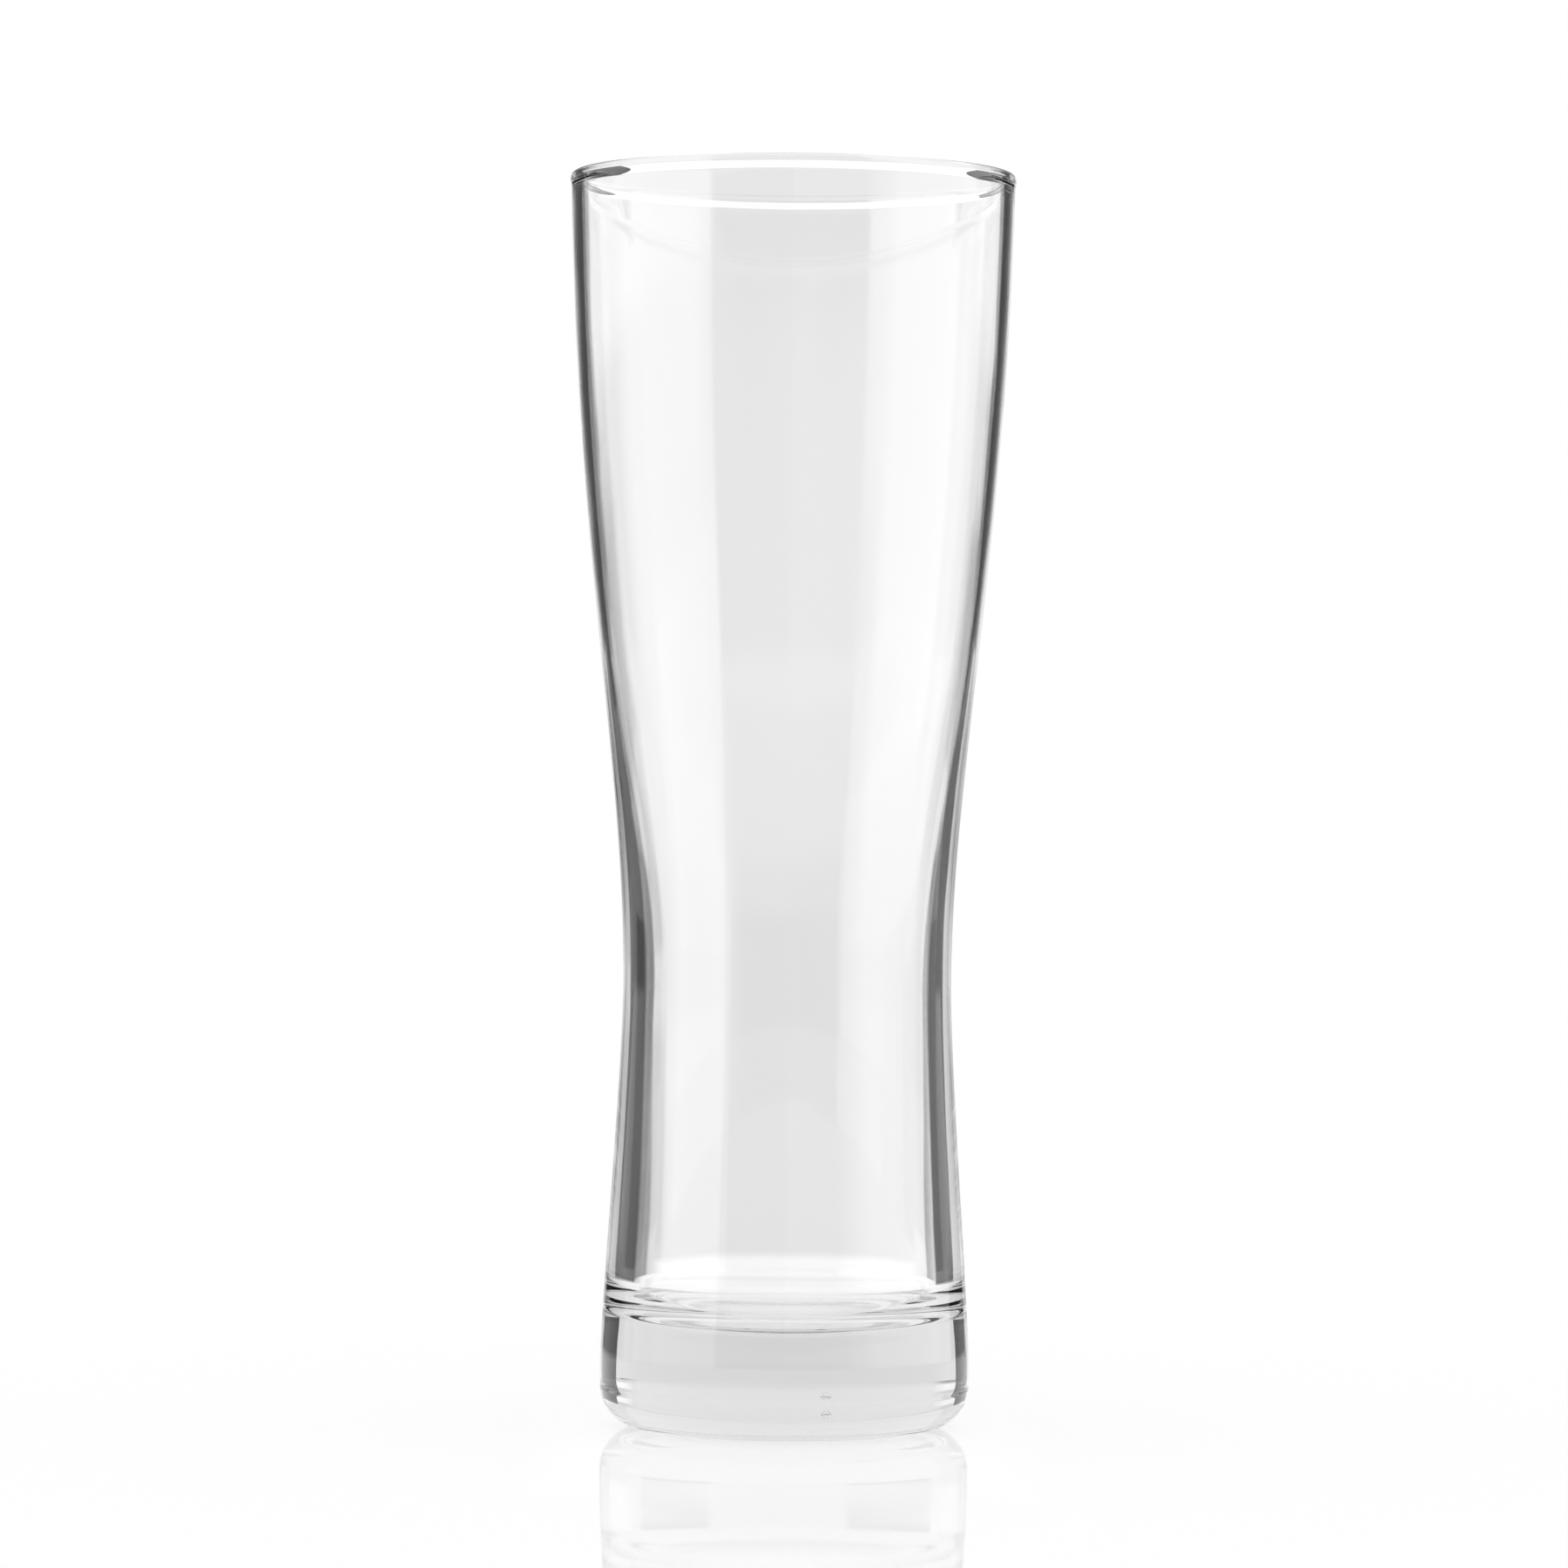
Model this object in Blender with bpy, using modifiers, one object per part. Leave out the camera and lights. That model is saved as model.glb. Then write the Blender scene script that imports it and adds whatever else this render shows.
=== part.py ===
# Pilsner glass: a slim-waisted beer glass with a thick solid base, one piece of clear glass.
# Metres, +Z up. The origin is the centre of the foot, on the surface the glass stands on.

from math import acos, asin, cos, pi, sin

import bpy
import numpy as np
from mathutils import Vector
from mathutils.geometry import interpolate_bezier

# Outside of the body
HEIGHT = 0.2200  # foot to the top of the lip
RIM_RADIUS = 0.0390  # outer wall just under the lip
RIM_FLARE = 0.02  # outward lean of the wall there, radius per height
WAIST_RADIUS = 0.0288
WAIST_HEIGHT = 0.0780
HEEL_RADIUS = 0.0324  # widest part of the base
HEEL_FLARE = 0.02  # how the wall still widens downwards there, radius per height
HEEL_ROUND = 0.0074  # radius of the bottom edge
HEEL_UPRIGHT = 0.0046  # straight stretch of the side above that edge

# How far each end holds its own direction, as a share of the curve's height
RIM_EASE = 0.47
WAIST_EASE_UP = 0.27
WAIST_EASE_DOWN = 0.23
HEEL_EASE = 0.17

# Lip: a fire-polished bead that stands proud of the wall on both sides
LIP_PROUD_OUTSIDE = 0.00020
LIP_PROUD_INSIDE = 0.00020

# Wall thickness, measured level
RIM_WALL = 0.00175
THIN_WALL = 0.00155
THIN_PLACE = 0.43  # share of the way from the waist up to the rim
WAIST_WALL = 0.00390
CAVITY_FOOT_WALL = 0.00510

# Inside bottom
FLOOR_HEIGHT = 0.0162  # solid glass under the drink, in the middle
FLOOR_DIP = 0.0022  # how much lower the middle is than a level floor would be
CAVITY_ROUND = 0.0075  # radius between the inner wall and the floor

# Underside
FOOT_RING_WIDTH = 0.0035  # flat ring that stands on the table
PUSH_UP = 0.0012  # hollow under the middle of the foot

# Fineness of the solid
TURN_STEPS = 64
UPPER_WALL_STEPS = 11
LOWER_WALL_STEPS = 6
INNER_WALL_STEPS = 13
LIP_STEPS = 4  # each side of the top
EDGE_STEPS = 6
FLOOR_STEPS = 3
PUSH_UP_STEPS = 3
CURVE_SAMPLES = 200

# Sizes that follow from the ones above
LIP_ROUND = (RIM_WALL + LIP_PROUD_OUTSIDE + LIP_PROUD_INSIDE) / 2
LIP_CENTRE_RADIUS = RIM_RADIUS + LIP_PROUD_OUTSIDE - LIP_ROUND
LIP_CENTRE_HEIGHT = HEIGHT - LIP_ROUND
LIP_OUTER_END = -acos((RIM_RADIUS - LIP_CENTRE_RADIUS) / LIP_ROUND)
LIP_INNER_END = 2 * pi - acos((RIM_RADIUS - RIM_WALL - LIP_CENTRE_RADIUS) / LIP_ROUND)
RIM_HEIGHT = LIP_CENTRE_HEIGHT + LIP_ROUND * sin(LIP_OUTER_END)
INNER_RIM_HEIGHT = LIP_CENTRE_HEIGHT + LIP_ROUND * sin(LIP_INNER_END)
CAVITY_FOOT_HEIGHT = FLOOR_HEIGHT + FLOOR_DIP + CAVITY_ROUND
HEEL_HEIGHT = HEEL_ROUND + HEEL_UPRIGHT
FOOT_RADIUS = HEEL_RADIUS - HEEL_ROUND
PUSH_UP_RADIUS = FOOT_RADIUS - FOOT_RING_WIDTH


def arc(centre_radius, centre_height, radius, start, end, steps):
    """Points of a round edge, from the start angle to the end angle, both included."""
    angles = np.linspace(start, end, steps + 1)
    return [(centre_radius + radius * cos(a), centre_height + radius * sin(a)) for a in angles]


def curve(top, top_handle, bottom_handle, bottom, steps):
    """Points of one smooth stretch of the side, from its top down to its bottom."""
    ends = [Vector((radius, height, 0)) for radius, height in (top, top_handle, bottom_handle, bottom)]
    return [(point.x, point.y) for point in interpolate_bezier(*ends, steps + 1)]


def upper_side(steps):
    """Outer wall from under the lip down to the waist."""
    span = RIM_HEIGHT - WAIST_HEIGHT
    rim_hold = RIM_EASE * span
    return curve(
        (RIM_RADIUS, RIM_HEIGHT),
        (RIM_RADIUS - RIM_FLARE * rim_hold, RIM_HEIGHT - rim_hold),
        (WAIST_RADIUS, WAIST_HEIGHT + WAIST_EASE_UP * span),
        (WAIST_RADIUS, WAIST_HEIGHT),
        steps,
    )


def lower_side(steps):
    """Outer wall from the waist down to the heel."""
    span = WAIST_HEIGHT - HEEL_HEIGHT
    heel_hold = HEEL_EASE * span
    return curve(
        (WAIST_RADIUS, WAIST_HEIGHT),
        (WAIST_RADIUS, WAIST_HEIGHT - WAIST_EASE_DOWN * span),
        (HEEL_RADIUS - HEEL_FLARE * heel_hold, HEEL_HEIGHT + heel_hold),
        (HEEL_RADIUS, HEEL_HEIGHT),
        steps,
    )


def wall_at(height):
    """Wall thickness at a height, easing from one named place to the next."""
    thin_height = WAIST_HEIGHT + THIN_PLACE * (RIM_HEIGHT - WAIST_HEIGHT)
    places = [
        (CAVITY_FOOT_HEIGHT, CAVITY_FOOT_WALL),
        (WAIST_HEIGHT, WAIST_WALL),
        (thin_height, THIN_WALL),
        (INNER_RIM_HEIGHT, RIM_WALL),
    ]
    for (low, low_wall), (high, high_wall) in zip(places, places[1:]):
        if height <= high:
            break
    share = min(max((height - low) / (high - low), 0), 1)
    return low_wall + (high_wall - low_wall) * share * share * (3 - 2 * share)


def inner_side(steps):
    """Inner wall from the cavity's foot up to the lip: the outer wall less its thickness."""
    side = np.array(upper_side(CURVE_SAMPLES) + lower_side(CURVE_SAMPLES)[1:])[::-1]
    heights = np.linspace(CAVITY_FOOT_HEIGHT, INNER_RIM_HEIGHT, steps + 1)
    return [(np.interp(h, side[:, 1], side[:, 0]) - wall_at(h), h) for h in heights]


def cavity_floor(wall_foot):
    """Shallow bowl from the axis out to a round, and that round up to the foot of the inner wall."""
    centre = wall_foot - CAVITY_ROUND
    rise = FLOOR_DIP + CAVITY_ROUND
    bowl = (centre ** 2 + rise ** 2 - CAVITY_ROUND ** 2) / (2 * FLOOR_DIP)
    slope = asin(centre / (bowl - CAVITY_ROUND))
    floor = arc(0, FLOOR_HEIGHT + bowl, bowl, -pi / 2, slope - pi / 2, FLOOR_STEPS)
    corner = arc(centre, CAVITY_FOOT_HEIGHT, CAVITY_ROUND, slope - pi / 2, 0, EDGE_STEPS)
    return [(0, FLOOR_HEIGHT)] + floor[1:] + corner[1:]


def push_up(steps):
    """Shallow dome under the foot, from the resting ring in to the axis."""
    radii = np.linspace(PUSH_UP_RADIUS, 0, steps + 1)
    return [(r, PUSH_UP * (1 - (r / PUSH_UP_RADIUS) ** 2)) for r in radii]


def glass_profile():
    """Half section: floor of the cavity, inner wall, lip, outer wall, heel and foot."""
    inside = inner_side(INNER_WALL_STEPS)
    lip_inside = arc(LIP_CENTRE_RADIUS, LIP_CENTRE_HEIGHT, LIP_ROUND, LIP_INNER_END, pi / 2, LIP_STEPS)
    lip_outside = arc(LIP_CENTRE_RADIUS, LIP_CENTRE_HEIGHT, LIP_ROUND, pi / 2, LIP_OUTER_END, LIP_STEPS)
    heel = arc(FOOT_RADIUS, HEEL_ROUND, HEEL_ROUND, 0, -pi / 2, EDGE_STEPS)
    # A stretch that starts where the one before it ends leaves out its first point.
    return (
        cavity_floor(inside[0][0])
        + inside[1:]
        + lip_inside[1:]
        + lip_outside[1:]
        + upper_side(UPPER_WALL_STEPS)[1:]
        + lower_side(LOWER_WALL_STEPS)[1:]
        + heel
        + push_up(PUSH_UP_STEPS)
    )


def clear_glass():
    """Colourless polished glass."""
    material = bpy.data.materials.new("clear_glass")
    material.use_nodes = True
    shader = material.node_tree.nodes["Principled BSDF"]
    shader.inputs["Base Color"].default_value = (0.97, 0.97, 0.97, 1)
    shader.inputs["Roughness"].default_value = 0.02
    shader.inputs["Metallic"].default_value = 0
    shader.inputs["IOR"].default_value = 1.52
    shader.inputs["Transmission Weight"].default_value = 1
    return material


def turned(name, profile, material, collection):
    """A solid of revolution about +Z from a half section that starts and ends on the axis."""
    mesh = bpy.data.meshes.new(name)
    points = [(radius, 0, height) for radius, height in profile]
    mesh.from_pydata(points, [(i, i + 1) for i in range(len(points) - 1)], [])
    mesh.materials.append(material)
    solid = bpy.data.objects.new(name, mesh)
    collection.objects.link(solid)
    turn = solid.modifiers.new("Turn", "SCREW")
    turn.axis = "Z"
    turn.angle = 2 * pi
    turn.steps = TURN_STEPS
    turn.render_steps = TURN_STEPS
    turn.use_merge_vertices = True
    turn.merge_threshold = 0.00001
    turn.use_smooth_shade = True
    return solid


def main():
    for old in list(bpy.data.objects):
        bpy.data.objects.remove(old, do_unlink=True)
    collection = bpy.data.collections.new("pilsner_glass")
    bpy.context.scene.collection.children.link(collection)
    turned("glass_body", glass_profile(), clear_glass(), collection)


main()
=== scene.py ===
from math import atan, cos, pi, radians, sin

import bpy
import numpy as np
from mathutils import Matrix, Vector
from mathutils.geometry import interpolate_bezier


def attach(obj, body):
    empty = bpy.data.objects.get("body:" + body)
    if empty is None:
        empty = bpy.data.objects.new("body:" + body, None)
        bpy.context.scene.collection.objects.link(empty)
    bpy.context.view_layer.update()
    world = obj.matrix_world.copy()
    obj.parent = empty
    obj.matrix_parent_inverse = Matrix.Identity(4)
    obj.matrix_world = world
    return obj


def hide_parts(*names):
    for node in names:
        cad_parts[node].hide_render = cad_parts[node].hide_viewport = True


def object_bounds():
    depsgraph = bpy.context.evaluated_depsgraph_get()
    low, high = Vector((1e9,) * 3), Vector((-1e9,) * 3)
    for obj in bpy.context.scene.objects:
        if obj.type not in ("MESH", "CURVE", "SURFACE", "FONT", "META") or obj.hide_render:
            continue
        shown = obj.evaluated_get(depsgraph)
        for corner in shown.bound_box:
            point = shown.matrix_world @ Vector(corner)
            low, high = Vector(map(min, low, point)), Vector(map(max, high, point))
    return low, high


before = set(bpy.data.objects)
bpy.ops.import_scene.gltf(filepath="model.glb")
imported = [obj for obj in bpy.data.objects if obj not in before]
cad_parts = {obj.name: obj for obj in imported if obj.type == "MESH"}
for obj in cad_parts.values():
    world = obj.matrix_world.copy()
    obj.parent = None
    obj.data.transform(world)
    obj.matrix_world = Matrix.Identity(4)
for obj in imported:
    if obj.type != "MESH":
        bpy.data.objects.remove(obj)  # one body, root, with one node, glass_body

mm = 0.001
scene = bpy.context.scene
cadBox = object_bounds()
print("frame loaded, height in mm:", round((cadBox[1].z - cadBox[0].z) / mm, 2))


def linear(hexColour):  # sRGB hex to linear, with alpha 1
    shares = [int(hexColour[i:i + 2], 16) / 255 for i in (1, 3, 5)]
    return [s / 12.92 if s <= 0.04045 else ((s + 0.055) / 1.055) ** 2.4 for s in shares] + [1]


def addNode(tree, kind, feeds=None, **settings):
    # feeds: socket name or number, and a plain value or the output that is linked to it
    node = tree.nodes.new(kind)
    for name, value in settings.items():
        setattr(node, name, value)
    for name, value in (feeds or {}).items():
        if isinstance(value, bpy.types.NodeSocket):
            tree.links.new(value, node.inputs[name])
        else:
            node.inputs[name].default_value = value
    return node


# Glass body: one turned piece. Height and mouth come from the frame, the rest from the photograph.
glassBody = {
    "height": cadBox[1].z,
    "lipRadius": cadBox[1].x,
    "lipProudOutside": 0.20 * mm,  # the fire-polished lip swells a little past the wall
    "lipProudInside": 0.10 * mm,
    "lipSwell": 1.8 * mm,  # height over which it does so, below its round
    "rimFlare": 0.02,  # outward lean just under the lip, radius per height
    "waistRadius": 28.8 * mm,
    "waistHeight": 78.0 * mm,
    "heelRadius": 32.4 * mm,
    "heelFlare": 0.02,
    "heelRound": 7.4 * mm,
    "heelUpright": 4.6 * mm,
    "rimEase": 0.47,  # how far each end holds its direction, as a share of the curve's height
    "waistEaseUp": 0.27,
    "waistEaseDown": 0.23,
    "heelEase": 0.17,
    "rimWall": 1.75 * mm,
    "thinWall": 1.55 * mm,
    "thinPlace": 0.43,  # share of the way from the waist up to the rim
    "waistWall": 3.90 * mm,
    "cavityFootWall": 5.10 * mm,
    "floorHeight": 16.2 * mm,  # solid glass under the middle of the cavity
    "floorBow": 2.4 * mm,  # rise of the cavity's floor from there to its round
    "cavityRound": 7.5 * mm,
    "footRingWidth": 3.5 * mm,
    "pushUp": 1.2 * mm,  # hollow under the middle of the foot
    "stepsAround": 256,
    "stepsOfSide": 60,
    "stepsOfEdge": 24,
    "stepsOfFlat": 16,
    "floorPasses": 20,  # to find where the floor meets its round
    "leastStep": 0.1 * mm,  # between the points where the side meets the lip
    "weld": 0.001 * mm,  # points closer than this become one
    "waveHeight": 0.02 * mm,  # the blown inside is never quite even
    "waveLength": 9.0 * mm,
    "waveDetail": 1.0,
    "waveSeed": 4.0,
    "heelWaveHeight": 0.04 * mm,  # nor is the pressed heel, between two levels
    "heelWaveFrom": 1.0 * mm,
    "heelWaveTo": 10.0 * mm,
    "heelWaveEase": 2.5 * mm,
    "bubbleRadius": 0.6 * mm,  # one seed bubble in the thick foot
    "bubblePlace": (4.7 * mm, 2.1 * mm, 6.7 * mm),
    "bubbleSteps": 24,
}


def arc(centre, radius, start, end, steps):
    angles = np.linspace(start, end, steps + 1)
    return [(centre[0] + radius * cos(a), centre[1] + radius * sin(a)) for a in angles]


def smoothShare(share):
    return share * share * (3 - 2 * share)


def sideCurve(top, topHandle, bottomHandle, bottom, steps):
    ends = [Vector((r, h, 0)) for r, h in (top, topHandle, bottomHandle, bottom)]
    return [(p.x, p.y) for p in interpolate_bezier(*ends, steps + 1)]


def glassProfile(g):
    # half section, from the middle of the cavity's floor up the inside, over the lip and down to the foot
    rimRadius = g["lipRadius"] - g["lipProudOutside"]
    lipRound = (g["rimWall"] + g["lipProudOutside"] + g["lipProudInside"]) / 2
    lipCentre = (g["lipRadius"] - lipRound, g["height"] - lipRound)
    swellStart = lipCentre[1] - g["lipSwell"]
    heelHeight = g["heelRound"] + g["heelUpright"]
    footRadius = g["heelRadius"] - g["heelRound"]
    pushRadius = footRadius - g["footRingWidth"]

    upperSpan = lipCentre[1] - g["waistHeight"]
    rimHold = g["rimEase"] * upperSpan
    upperSide = sideCurve(
        (rimRadius, lipCentre[1]),
        (rimRadius - g["rimFlare"] * rimHold, lipCentre[1] - rimHold),
        (g["waistRadius"], g["waistHeight"] + g["waistEaseUp"] * upperSpan),
        (g["waistRadius"], g["waistHeight"]),
        g["stepsOfSide"],
    )
    lowerSpan = g["waistHeight"] - heelHeight
    heelHold = g["heelEase"] * lowerSpan
    lowerSide = sideCurve(
        (g["waistRadius"], g["waistHeight"]),
        (g["waistRadius"], g["waistHeight"] - g["waistEaseDown"] * lowerSpan),
        (g["heelRadius"] - g["heelFlare"] * heelHold, heelHeight + heelHold),
        (g["heelRadius"], heelHeight),
        g["stepsOfSide"] // 2,
    )
    outer = np.array(upperSide + lowerSide[1:])[::-1]
    swellHeights = np.linspace(swellStart, lipCentre[1], g["stepsOfEdge"] // 2 + 1)
    swellShare = smoothShare((swellHeights - swellStart) / g["lipSwell"])

    # floor of the cavity: a shallow bow that runs smoothly into a round, and the round into the wall
    slope = 0
    for attempt in range(g["floorPasses"]):
        cavityFootHeight = g["floorHeight"] + g["floorBow"] + g["cavityRound"] * cos(slope)
        cavityRadius = np.interp(cavityFootHeight, outer[:, 1], outer[:, 0]) - g["cavityFootWall"]
        bowRadius = cavityRadius - g["cavityRound"] * (1 - sin(slope))
        slope = atan(2 * g["floorBow"] / bowRadius)
    floorRadii = np.linspace(0, bowRadius, g["stepsOfFlat"] + 1)
    inside = [(r, g["floorHeight"] + g["floorBow"] * (r / bowRadius) ** 2) for r in floorRadii]
    cornerCentre = (cavityRadius - g["cavityRound"], cavityFootHeight)
    inside += arc(cornerCentre, g["cavityRound"], slope - pi / 2, 0, g["stepsOfEdge"])[1:]

    # inner wall: the outer one less a thickness that eases from place to place
    places = [cavityFootHeight, g["waistHeight"], g["waistHeight"] + g["thinPlace"] * upperSpan, lipCentre[1]]
    walls = [g["cavityFootWall"], g["waistWall"], g["thinWall"], g["rimWall"]]
    bodyHeights = np.linspace(cavityFootHeight, swellStart, g["stepsOfSide"] + 1)
    innerSide = []
    for height in [*bodyHeights, *swellHeights[1:]]:
        step = max(i for i in range(len(places) - 1) if height >= places[i])
        share = smoothShare((height - places[step]) / (places[step + 1] - places[step]))
        wall = walls[step] + (walls[step + 1] - walls[step]) * share
        innerSide.append((np.interp(height, outer[:, 1], outer[:, 0]) - wall, height))
    inside += innerSide[1:len(bodyHeights)]

    outside = [(r - g["lipProudInside"] * share, height)
               for (r, height), share in zip(innerSide[len(bodyHeights):], swellShare[1:])]
    outside += arc(lipCentre, lipRound, pi, 0, 2 * g["stepsOfEdge"])[1:]
    outside += [(np.interp(height, outer[:, 1], outer[:, 0]) + g["lipProudOutside"] * share, height)
                for height, share in zip(swellHeights[-2::-1], swellShare[-2::-1])]
    outside += [(r, height) for r, height in upperSide if height < swellStart - g["leastStep"]]
    outside += lowerSide[1:]
    outside += arc((footRadius, g["heelRound"]), g["heelRound"], 0, -pi / 2, g["stepsOfEdge"])[1:]
    pushRadii = np.linspace(pushRadius, 0, g["stepsOfFlat"] + 1)
    outside += [(r, g["pushUp"] * (1 - (r / pushRadius) ** 2)) for r in pushRadii]
    return inside + outside, len(inside)


def turnedGlassTree():
    tree = bpy.data.node_groups.new("turnedGlass", "GeometryNodeTree")
    kinds = {"Profile": "Geometry", "Steps Around": "Int", "Inside Rows": "Int", "Weld": "Float",
             "Wave Height": "Float", "Wave Length": "Float", "Wave Detail": "Float", "Wave Seed": "Float",
             "Heel Wave Height": "Float", "Heel Wave From": "Float", "Heel Wave To": "Float",
             "Heel Wave Ease": "Float", "Bubble Radius": "Float", "Bubble Place": "Vector",
             "Bubble Steps": "Int", "Glass": "Material"}
    sockets = {
        name: tree.interface.new_socket(name, in_out="INPUT", socket_type="NodeSocket" + kind)
        for name, kind in kinds.items()
    }
    tree.interface.new_socket("Geometry", in_out="OUTPUT", socket_type="NodeSocketGeometry")
    given = addNode(tree, "NodeGroupInput").outputs

    # a grid with one column for each step around and one row for each point of the half section
    rows = addNode(tree, "GeometryNodeAttributeDomainSize", {"Geometry": given["Profile"]}, component="MESH")
    columns = addNode(tree, "FunctionNodeIntegerMath", {0: given["Steps Around"], 1: 1}, operation="ADD")
    grid = addNode(tree, "GeometryNodeMeshGrid",
                   {"Vertices X": columns.outputs[0], "Vertices Y": rows.outputs["Point Count"]})
    index = addNode(tree, "GeometryNodeInputIndex").outputs[0]
    column = addNode(tree, "FunctionNodeIntegerMath", {0: index, 1: rows.outputs["Point Count"]},
                     operation="DIVIDE_FLOOR").outputs[0]
    row = addNode(tree, "FunctionNodeIntegerMath", {0: index, 1: rows.outputs["Point Count"]},
                  operation="MODULO").outputs[0]

    # each point of the grid takes its place on the half section, turned about +Z
    onProfile = addNode(tree, "GeometryNodeSampleIndex",
                        {"Geometry": given["Profile"], "Index": row,
                         "Value": addNode(tree, "GeometryNodeInputPosition").outputs[0]},
                        data_type="FLOAT_VECTOR", domain="POINT")
    turn = addNode(tree, "ShaderNodeMath", {0: column, 1: given["Steps Around"]}, operation="DIVIDE")
    angle = addNode(tree, "ShaderNodeMath", {0: turn.outputs[0], 1: 2 * pi}, operation="MULTIPLY")
    turned = addNode(tree, "ShaderNodeVectorRotate",
                     {"Vector": onProfile.outputs[0], "Angle": angle.outputs[0]}, rotation_type="Z_AXIS")
    shaped = addNode(tree, "GeometryNodeSetPosition",
                     {"Geometry": grid.outputs["Mesh"], "Position": turned.outputs[0]})
    isInside = addNode(tree, "FunctionNodeCompare", {2: row, 3: given["Inside Rows"]},
                       data_type="INT", operation="LESS_THAN")
    marked = addNode(tree, "GeometryNodeStoreNamedAttribute",
                     {"Geometry": shaped.outputs[0], "Name": "inside", "Value": isInside.outputs[0]},
                     data_type="FLOAT", domain="POINT")
    closed = addNode(tree, "GeometryNodeMergeByDistance",
                     {"Geometry": marked.outputs[0], "Distance": given["Weld"]})

    # slow waves on the blown inside, and others on the pressed heel
    frequency = addNode(tree, "ShaderNodeMath", {0: 1.0, 1: given["Wave Length"]}, operation="DIVIDE")
    noise = addNode(tree, "ShaderNodeTexNoise",
                    {"Scale": frequency.outputs[0], "W": given["Wave Seed"], "Detail": given["Wave Detail"]},
                    noise_dimensions="4D")
    swing = addNode(tree, "ShaderNodeMapRange", {"Value": noise.outputs[0], "To Min": -1.0, "To Max": 1.0})
    height = addNode(tree, "ShaderNodeMath", {0: swing.outputs[0], 1: given["Wave Height"]},
                     operation="MULTIPLY")
    inside = addNode(tree, "GeometryNodeInputNamedAttribute", {"Name": "inside"}, data_type="FLOAT")
    insideDepth = addNode(tree, "ShaderNodeMath", {0: height.outputs[0], 1: inside.outputs[0]},
                          operation="MULTIPLY")
    level = addNode(tree, "ShaderNodeSeparateXYZ", {0: addNode(tree, "GeometryNodeInputPosition").outputs[0]})
    share = 1.0
    for name, way in (("Heel Wave From", "ADD"), ("Heel Wave To", "SUBTRACT")):
        full = addNode(tree, "ShaderNodeMath", {0: given[name], 1: given["Heel Wave Ease"]}, operation=way)
        within = addNode(tree, "ShaderNodeMapRange",
                         {"Value": level.outputs["Z"], "From Min": given[name], "From Max": full.outputs[0]},
                         interpolation_type="SMOOTHSTEP")
        share = addNode(tree, "ShaderNodeMath", {0: share, 1: within.outputs[0]},
                        operation="MULTIPLY").outputs[0]
    swell = addNode(tree, "ShaderNodeMath", {0: swing.outputs[0], 1: given["Heel Wave Height"]},
                    operation="MULTIPLY")
    depth = addNode(tree, "ShaderNodeMath", {0: swell.outputs[0], 1: share, 2: insideDepth.outputs[0]},
                    operation="MULTIPLY_ADD")
    push = addNode(tree, "ShaderNodeVectorMath",
                   {0: addNode(tree, "GeometryNodeInputNormal").outputs[0], "Scale": depth.outputs[0]},
                   operation="SCALE")
    waved = addNode(tree, "GeometryNodeSetPosition",
                    {"Geometry": closed.outputs[0], "Offset": push.outputs[0]})
    outward = addNode(tree, "GeometryNodeFlipFaces", {"Mesh": waved.outputs[0]})

    # a seed bubble: a small hollow, so its faces are turned to its inside
    rings = addNode(tree, "FunctionNodeIntegerMath", {0: given["Bubble Steps"], 1: 2}, operation="DIVIDE")
    ball = addNode(tree, "GeometryNodeMeshUVSphere",
                   {"Segments": given["Bubble Steps"], "Rings": rings.outputs[0],
                    "Radius": given["Bubble Radius"]})
    hollow = addNode(tree, "GeometryNodeFlipFaces", {"Mesh": ball.outputs["Mesh"]})
    bubble = addNode(tree, "GeometryNodeTransform",
                     {"Geometry": hollow.outputs[0], "Translation": given["Bubble Place"]})
    whole = addNode(tree, "GeometryNodeJoinGeometry", {"Geometry": bubble.outputs[0]})
    tree.links.new(outward.outputs[0], whole.inputs["Geometry"])
    smooth = addNode(tree, "GeometryNodeSetShadeSmooth", {"Geometry": whole.outputs[0]})
    real = addNode(tree, "GeometryNodeRealizeInstances", {"Geometry": smooth.outputs[0]})
    glazed = addNode(tree, "GeometryNodeSetMaterial",
                     {"Geometry": real.outputs[0], "Material": given["Glass"]})
    addNode(tree, "NodeGroupOutput", {"Geometry": glazed.outputs[0]})
    return tree, sockets


def makeGlassBody(g, glass):
    points, insideRows = glassProfile(g)
    profile = bpy.data.meshes.new("glassProfile")
    profile.from_pydata([(r, 0, h) for r, h in points], [(i, i + 1) for i in range(len(points) - 1)], [])
    maker = bpy.data.objects.new("glassMaker", profile)
    scene.collection.objects.link(maker)
    tree, sockets = turnedGlassTree()
    turning = maker.modifiers.new("turning", "NODES")
    turning.node_group = tree
    values = {"Steps Around": g["stepsAround"], "Inside Rows": insideRows, "Weld": g["weld"],
              "Wave Height": g["waveHeight"], "Wave Length": g["waveLength"], "Wave Detail": g["waveDetail"],
              "Wave Seed": g["waveSeed"], "Heel Wave Height": g["heelWaveHeight"],
              "Heel Wave From": g["heelWaveFrom"], "Heel Wave To": g["heelWaveTo"],
              "Heel Wave Ease": g["heelWaveEase"], "Bubble Radius": g["bubbleRadius"],
              "Bubble Place": g["bubblePlace"], "Bubble Steps": g["bubbleSteps"], "Glass": glass}
    for name, value in values.items():
        turning[sockets[name].identifier] = value
    bpy.context.view_layer.update()
    graph = bpy.context.evaluated_depsgraph_get()
    mesh = bpy.data.meshes.new_from_object(maker.evaluated_get(graph))
    bpy.data.objects.remove(maker)
    mesh.name = "pilsnerGlass"
    piece = bpy.data.objects.new("pilsner_glass", mesh)
    scene.collection.objects.link(piece)
    print("glass turned, faces:", len(mesh.polygons), "points:", len(mesh.vertices))
    return piece


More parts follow.
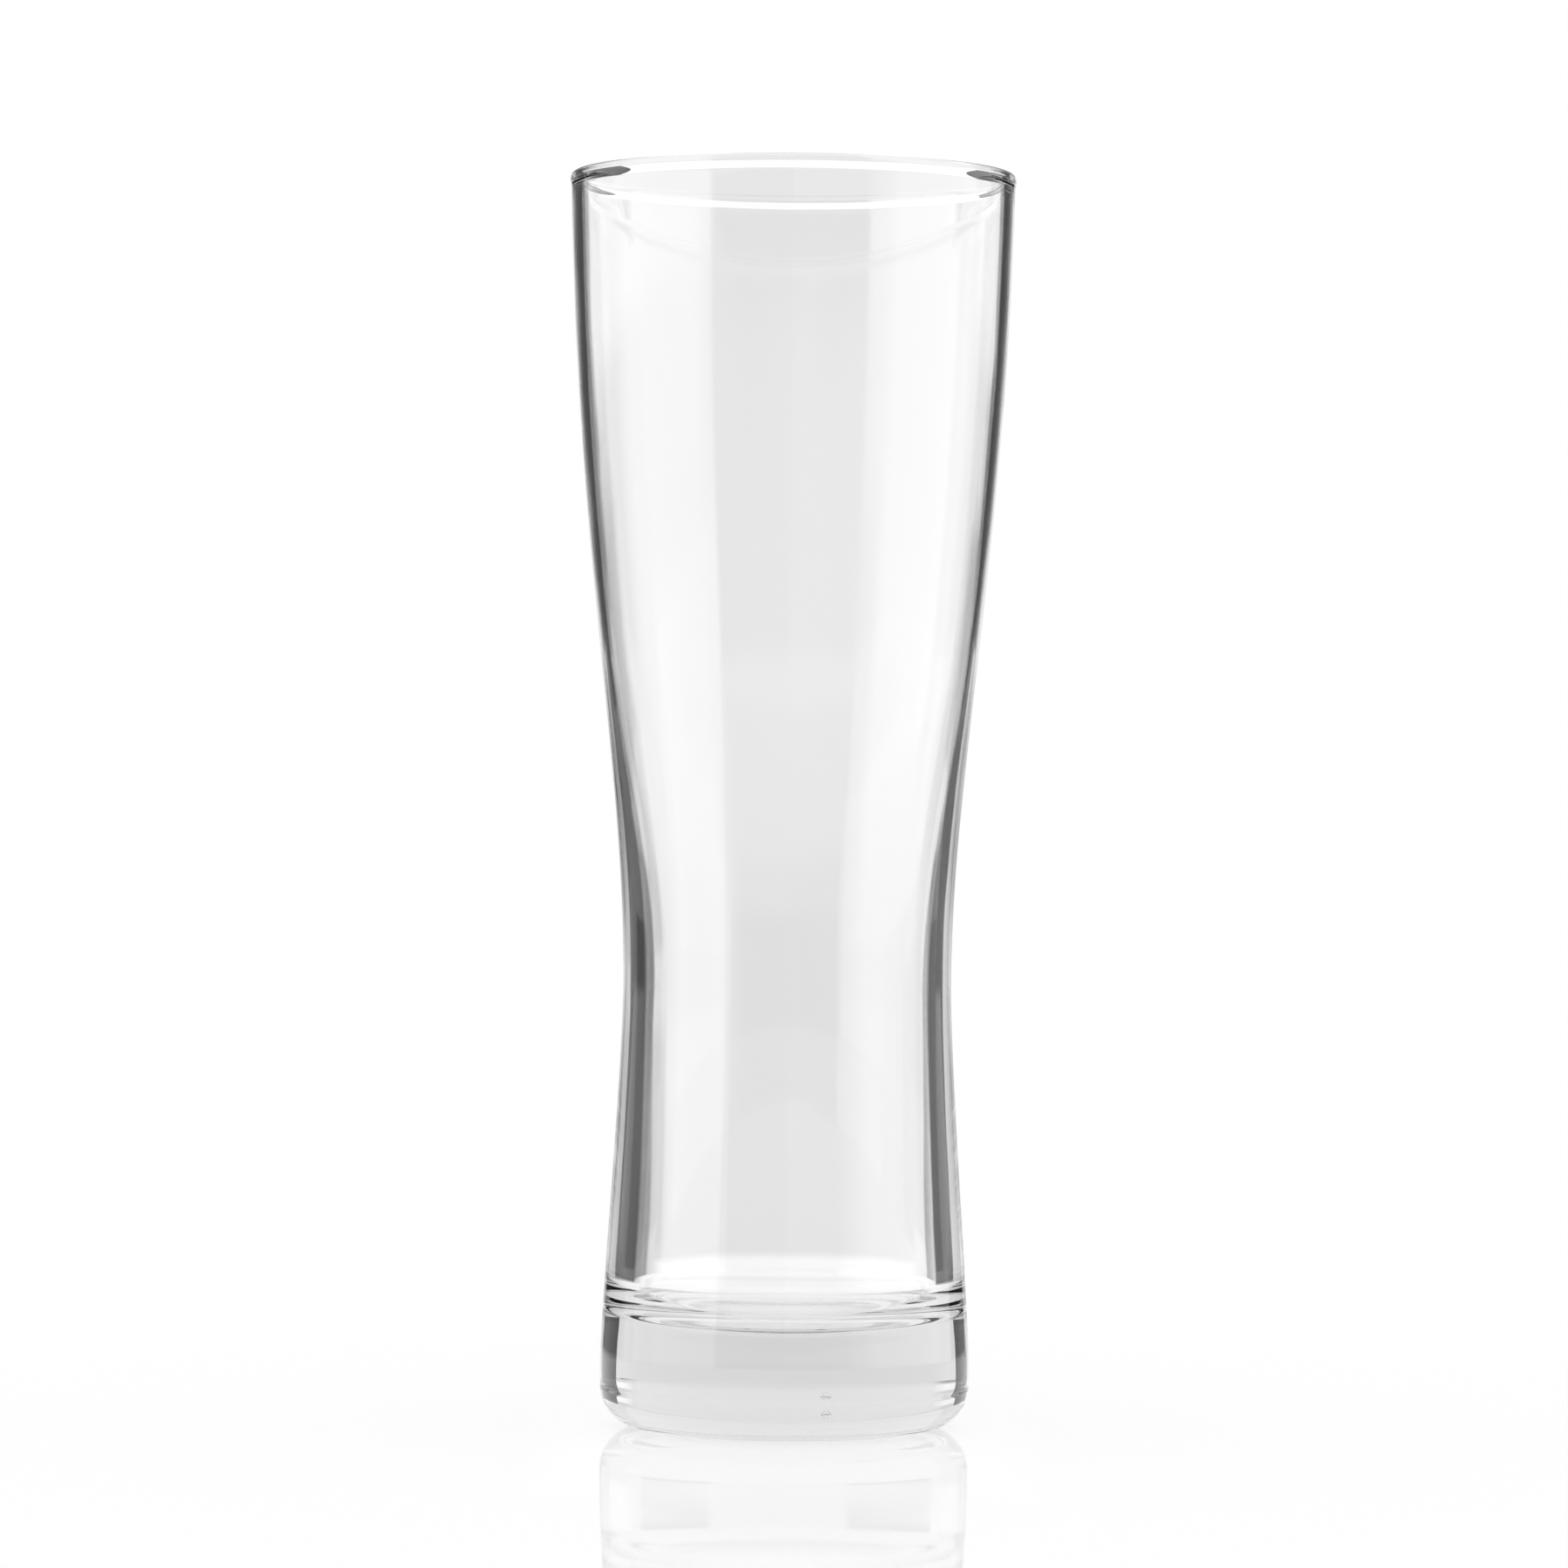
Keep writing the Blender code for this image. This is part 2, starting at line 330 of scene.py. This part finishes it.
# Soda-lime glass, pressed and blown, then fire-polished: colourless, with a mirror-smooth skin that carries
# a faint slow ripple, and a thick base that greys what is seen through it a little.
sodaLime = {
    "ior": 1.52,
    "absorbedTint": "#f6f6f6",
    "absorbedDensity": 72.0,
    "rippleSize": 6.0 * mm,
    "rippleDepth": 0.002 * mm,
    "rippleDetail": 2.0,
}


def makeSodaLimeGlass(s):
    material = bpy.data.materials.new("sodaLimeGlassFirePolished")
    material.use_nodes = True
    tree = material.node_tree
    tree.nodes.clear()
    coords = addNode(tree, "ShaderNodeTexCoord").outputs["Object"]
    ripple = addNode(tree, "ShaderNodeTexNoise",
                     {"Vector": coords, "Scale": 1 / s["rippleSize"], "Detail": s["rippleDetail"]}).outputs[0]
    skin = addNode(tree, "ShaderNodeBump", {"Height": ripple, "Distance": s["rippleDepth"], "Strength": 1.0})
    shader = addNode(tree, "ShaderNodeBsdfPrincipled",
                     {"Base Color": (1, 1, 1, 1), "Roughness": 0.0, "IOR": s["ior"],
                      "Transmission Weight": 1.0, "Normal": skin.outputs[0]})
    body = addNode(tree, "ShaderNodeVolumeAbsorption",
                   {"Color": linear(s["absorbedTint"]), "Density": s["absorbedDensity"]})
    addNode(tree, "ShaderNodeOutputMaterial", {"Surface": shader.outputs[0], "Volume": body.outputs[0]})
    return material


glass = makeSodaLimeGlass(sodaLime)
body = makeGlassBody(glassBody, glass)
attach(body, "root")
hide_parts("glass_body")


# Table: a white light panel with a faint mirror in its polish, fading out before its edge.
table = {
    "middle": (0, -0.10, 0),  # reaches further towards the camera than behind the glass
    "radius": 0.31,
    "stepsAround": 96,
    "fadeStart": 0.25,
    "fadeEnd": 0.30,
    "white": "#ffffff",
    "litFromBelow": 0.8,  # share of its white that is its own light, the rest falls on it
    "mirror": 0.2,
    "mirrorRoughness": 0.03,
    "glow": 1.1,  # the panel is a little brighter than white, which only the glass shows
}


def makeTable(t):
    material = bpy.data.materials.new("polishedLightPanel")
    material.use_nodes = True
    tree = material.node_tree
    tree.nodes.clear()
    coords = addNode(tree, "ShaderNodeTexCoord").outputs["Object"]
    far = addNode(tree, "ShaderNodeVectorMath", {0: coords, 1: t["middle"]},
                  operation="DISTANCE").outputs["Value"]
    fade = addNode(tree, "ShaderNodeMapRange",
                   {"Value": far, "From Min": t["fadeStart"], "From Max": t["fadeEnd"]},
                   interpolation_type="SMOOTHSTEP").outputs[0]
    path = addNode(tree, "ShaderNodeLightPath").outputs
    sharp = addNode(tree, "ShaderNodeMath", {0: path["Is Glossy Ray"], 1: path["Is Transmission Ray"]},
                    operation="MAXIMUM").outputs[0]
    glow = addNode(tree, "ShaderNodeMapRange",
                   {"Value": sharp, "To Min": 1.0, "To Max": t["glow"]}).outputs[0]
    white = addNode(tree, "ShaderNodeBsdfDiffuse", {"Color": linear(t["white"])}).outputs[0]
    lamp = addNode(tree, "ShaderNodeEmission", {"Color": linear(t["white"]), "Strength": glow}).outputs[0]
    panel = addNode(tree, "ShaderNodeMixShader", {0: t["litFromBelow"], 1: white, 2: lamp}).outputs[0]
    polish = addNode(tree, "ShaderNodeBsdfGlossy",
                     {"Color": (1, 1, 1, 1), "Roughness": t["mirrorRoughness"]}).outputs[0]
    surface = addNode(tree, "ShaderNodeMixShader", {0: t["mirror"], 1: panel, 2: polish}).outputs[0]
    clear = addNode(tree, "ShaderNodeBsdfTransparent").outputs[0]
    faded = addNode(tree, "ShaderNodeMixShader", {0: fade, 1: surface, 2: clear}).outputs[0]
    addNode(tree, "ShaderNodeOutputMaterial", {"Surface": faded})
    mesh = bpy.data.meshes.new("table")
    turns = np.linspace(0, 2 * pi, t["stepsAround"], endpoint=False)
    edge = [Vector((t["radius"] * cos(a), t["radius"] * sin(a), 0)) for a in turns]
    corners = [corner + Vector(t["middle"]) for corner in edge]
    mesh.from_pydata(corners, [], [tuple(range(len(corners)))])
    mesh.materials.append(material)
    top = bpy.data.objects.new("table", mesh)
    scene.collection.objects.link(top)
    return top


floor = makeTable(table)
print("table laid")


# Flags: black cards behind the glass at both sides, that the glass sees but the camera doesn't. One pair
# hangs above the level of the lip, and a small pair hangs low, close behind the foot.
flags = {
    # plan of both ends, bottom and top, in mm with the axis at 0, whether mirrors show it, and through how
    # many skins of glass it shows at most: the low pair only shows through the solid foot
    "cards": {
        "lipLeft": ((-130, 60), (-35, 60), 229.6, 290, True, 32),
        "lipRight": ((38, 60), (130, 60), 229.6, 290, True, 32),
        "footLeft": ((-9.9, 34.1), (-8.0, 39.5), 4, 13, False, 2),
        "footRight": ((7.4, 40.5), (9.9, 34.1), 4, 13, False, 2),
    },
    "black": "#3a3a3a",
}


def makeBlackCard(black, skins):
    material = bpy.data.materials.new("blackCard")
    material.use_nodes = True
    tree = material.node_tree
    tree.nodes.clear()
    card = addNode(tree, "ShaderNodeBsdfDiffuse", {"Color": linear(black)}).outputs[0]
    clear = addNode(tree, "ShaderNodeBsdfTransparent").outputs[0]
    passed = addNode(tree, "ShaderNodeLightPath").outputs["Transmission Depth"]
    hidden = addNode(tree, "ShaderNodeMath", {0: passed, 1: skins}, operation="GREATER_THAN").outputs[0]
    shown = addNode(tree, "ShaderNodeMixShader", {0: hidden, 1: card, 2: clear}).outputs[0]
    addNode(tree, "ShaderNodeOutputMaterial", {"Surface": shown})
    return material


def makeFlags(f):
    made = []
    for name, (start, end, bottom, top, inMirrors, skins) in f["cards"].items():
        corners = [(*start, bottom), (*end, bottom), (*end, top), (*start, top)]
        mesh = bpy.data.meshes.new("flag_" + name)
        mesh.from_pydata([Vector(corner) * mm for corner in corners], [], [(0, 1, 2, 3)])
        mesh.materials.append(makeBlackCard(f["black"], skins))
        flag = bpy.data.objects.new("flag_" + name, mesh)
        scene.collection.objects.link(flag)
        flag.visible_camera = False
        flag.visible_glossy = inMirrors
        flag.visible_diffuse = False
        flag.visible_shadow = False
        made.append(flag)
    return made


for flag in makeFlags(flags):
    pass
print("flags hung")


# Strip: a low white band that stands round the back of the foot. The glass sees it, but the camera doesn't.
strip = {
    "radius": 92 * mm,
    "height": 23 * mm,
    "topFade": 20 * mm,
    "reach": 34,  # degrees to each side
    "endFade": 24,
    "steps": 24,
    "lowLevel": 0.99,
    "highLevel": 1.08,
    "lowEnd": 4 * mm,
    "highStart": 9 * mm,
}


def makeStrip(s):
    material = bpy.data.materials.new("whiteStrip")
    material.use_nodes = True
    tree = material.node_tree
    tree.nodes.clear()
    place = addNode(tree, "ShaderNodeTexCoord").outputs["Object"]
    place = addNode(tree, "ShaderNodeSeparateXYZ", {0: place}).outputs
    level = addNode(tree, "ShaderNodeMapRange",
                    {"Value": place["Z"], "From Min": s["lowEnd"], "From Max": s["highStart"],
                     "To Min": s["lowLevel"], "To Max": s["highLevel"]},
                    interpolation_type="SMOOTHSTEP").outputs[0]
    glow = addNode(tree, "ShaderNodeEmission", {"Color": (1, 1, 1, 1), "Strength": level}).outputs[0]
    sideways = addNode(tree, "ShaderNodeMath", {0: place["X"]}, operation="ABSOLUTE").outputs[0]
    ends = addNode(tree, "ShaderNodeMapRange",
                   {"Value": sideways, "From Min": s["radius"] * sin(radians(s["endFade"])),
                    "From Max": s["radius"] * sin(radians(s["reach"]))},
                   interpolation_type="SMOOTHSTEP").outputs[0]
    top = addNode(tree, "ShaderNodeMapRange",
                  {"Value": place["Z"], "From Min": s["topFade"], "From Max": s["height"]},
                  interpolation_type="SMOOTHSTEP").outputs[0]
    fade = addNode(tree, "ShaderNodeMath", {0: ends, 1: top}, operation="MAXIMUM").outputs[0]
    clear = addNode(tree, "ShaderNodeBsdfTransparent").outputs[0]
    surface = addNode(tree, "ShaderNodeMixShader", {0: fade, 1: glow, 2: clear}).outputs[0]
    addNode(tree, "ShaderNodeOutputMaterial", {"Surface": surface})
    turns = [radians(a) for a in np.linspace(-s["reach"], s["reach"], s["steps"] + 1)]
    lowEdge = [(s["radius"] * sin(a), s["radius"] * cos(a), 0) for a in turns]
    highEdge = [(x, y, s["height"]) for x, y, z in lowEdge]
    count = len(turns)
    faces = [(i, i + 1, count + i + 1, count + i) for i in range(s["steps"])]
    mesh = bpy.data.meshes.new("strip")
    mesh.from_pydata(lowEdge + highEdge, [], faces)
    mesh.materials.append(material)
    band = bpy.data.objects.new("strip", mesh)
    scene.collection.objects.link(band)
    band.visible_camera = False
    band.visible_diffuse = False
    band.visible_shadow = False
    return band


makeStrip(strip)
print("strip stood")


# Studio: a white tent, and what stands in it round the glass. Each card covers the ones before it.
# Degrees as seen from the glass: azimuth 0 is straight behind it, + is to the right, elevation 0 is level.
studio = {
    "tent": 1.0,
    "bounces": 32,  # light crosses many skins of glass
    "mirrorBounces": 16,
    "clearBounces": 16,
    "cards": {  # azimuth from and to, elevation from and to, soft sides, soft ends, level
        "cameraSideLeft": (-200, -135, -13, 9, 4, 4, 0.20),
        "cameraSideRight": (138, 200, -13, 9, 14, 4, 0.40),
        "backWall": (-75, 62, -90, 9.5, 4, 1, 0.86),
        "backWallLeft": (-75, -42, -12, 0.8, 4, 1.5, 0.62),
        "backGlowLeft": (-75, -42, 0.8, 6.5, 4, 1.5, 1.30),
        "backGlowRight": (44, 66, 1.5, 6.5, 4, 2, 1.40),
        "backLight": (-50, 50, 9.5, 30, 4, 1, 1.12),
        "softboxLeft": (-136, -88, -30, 12, 4, 4, 1.30),
        "softboxLeftFoot": (-136, -88, -30, -7, 4, 2, 1.58),
        "softboxLeftEdge": (-90, -71, -30, 0.8, 4, 1.5, 1.05),
        "softboxLeftTop": (-136, -71, 0.8, 12, 4, 1.5, 1.60),
        "softboxRight": (68, 126, -30, 12, 10, 4, 1.60),
        "softboxRightFoot": (68, 126, -30, -7, 10, 2, 1.70),
        "flagLeftFringe": (-22, -13, -11.5, -3.5, 3, 1.5, 0.68),
        "flagLeft": (-60, -20.5, -11.5, -1.5, 3, 1, 0.07),
        "flagRight": (24, 52, -11.5, -1.5, 3, 1, 0.07),
        "flagLeftMiddle": (-42.5, -17, -1.9, 1.5, 3, 1, 0.07),
        "flagRightMiddle": (20, 43, -1.9, 1.5, 3, 1, 0.07),
        "flagLeftTop": (-41.5, -13.5, 0.5, 9, 3, 1.5, 0.07),
        "flagRightTop": (16, 39, 0.5, 9, 3, 1.5, 0.07),
    },
}


def makeStudio(s):
    world = bpy.data.worlds.new("studio")
    scene.world = world
    world.use_nodes = True
    tree = world.node_tree
    tree.nodes.clear()
    direction = addNode(tree, "ShaderNodeSeparateXYZ",
                        {0: addNode(tree, "ShaderNodeTexCoord").outputs["Generated"]}).outputs
    turn = addNode(tree, "ShaderNodeMath", {0: direction["X"], 1: direction["Y"]},
                   operation="ARCTAN2").outputs[0]
    rise = addNode(tree, "ShaderNodeMath", {0: direction["Z"]}, operation="ARCSINE").outputs[0]
    azimuth = addNode(tree, "ShaderNodeMath", {0: turn}, operation="DEGREES").outputs[0]
    elevation = addNode(tree, "ShaderNodeMath", {0: rise}, operation="DEGREES").outputs[0]

    cards = s["tent"]
    for left, right, bottom, top, softSides, softEnds, level in s["cards"].values():
        share = 1.0
        for angle, low, high, soft in ((azimuth, left, right, softSides), (elevation, bottom, top, softEnds)):
            off = addNode(tree, "ShaderNodeMath", {0: angle, 1: (low + high) / 2}, operation="SUBTRACT")
            away = addNode(tree, "ShaderNodeMath", {0: off.outputs[0]}, operation="ABSOLUTE")
            within = addNode(tree, "ShaderNodeMapRange",
                             {"Value": away.outputs[0], "From Min": (high - low + soft) / 2,
                              "From Max": (high - low - soft) / 2}, interpolation_type="SMOOTHSTEP")
            share = addNode(tree, "ShaderNodeMath", {0: share, 1: within.outputs[0]},
                            operation="MULTIPLY").outputs[0]
        cards = addNode(tree, "ShaderNodeMix", {0: share, 2: cards, 3: level}, data_type="FLOAT").outputs[0]

    # the glass, whose skin is a perfect mirror, sees the cards, while the table, its polish and the camera
    # see the white tent
    path = addNode(tree, "ShaderNodeLightPath").outputs
    sharp = addNode(tree, "ShaderNodeMath", {0: path["Is Singular Ray"], 1: path["Is Transmission Ray"]},
                    operation="MAXIMUM").outputs[0]
    sharp = addNode(tree, "ShaderNodeMath", {0: sharp, 1: path["Diffuse Depth"]}, operation="SUBTRACT",
                    use_clamp=True).outputs[0]
    level = addNode(tree, "ShaderNodeMix", {0: sharp, 2: s["tent"], 3: cards}, data_type="FLOAT").outputs[0]
    light = addNode(tree, "ShaderNodeBackground", {"Color": (1, 1, 1, 1), "Strength": level})
    addNode(tree, "ShaderNodeOutputWorld", {"Surface": light.outputs[0]})
    world.cycles.sampling_method = "NONE"
    return world


makeStudio(studio)
scene.view_settings.view_transform = "Standard"
scene.cycles.max_bounces = studio["bounces"]
scene.cycles.transmission_bounces = studio["bounces"]
scene.cycles.glossy_bounces = studio["mirrorBounces"]
scene.cycles.transparent_max_bounces = studio["clearBounces"]
print("studio lit")


# Camera: level, at about half the height of the glass, so the foot is seen from above and the lip from below.
photo = {
    "pixels": 1800,
    "pixelSize": 0.1531 * mm,  # on the axis of the glass
    "distance": 1.08,  # from that axis
    "roll": 0.45,  # degrees
    "axisAt": 905.5,  # pixel column of the axis at mid height
    "floorAt": 1637.5,  # pixel row of the table on the axis
    "sensor": 36.0,
}


def makeCamera(p):
    lens = bpy.data.cameras.new("camera")
    lens.sensor_width = p["sensor"]
    lens.lens = p["sensor"] * p["distance"] / (p["pixels"] * p["pixelSize"])
    camera = bpy.data.objects.new("camera", lens)
    scene.collection.objects.link(camera)
    middle = p["pixels"] / 2
    across = (middle - p["axisAt"]) * p["pixelSize"]
    above = (p["floorAt"] - middle) * p["pixelSize"]
    camera.location = (across, -p["distance"], above)
    turn = Matrix.Rotation(pi / 2, 3, "X") @ Matrix.Rotation(radians(p["roll"]), 3, "Z")
    camera.rotation_euler = turn.to_euler()
    scene.camera = camera
    return camera


makeCamera(photo)
print("camera placed")
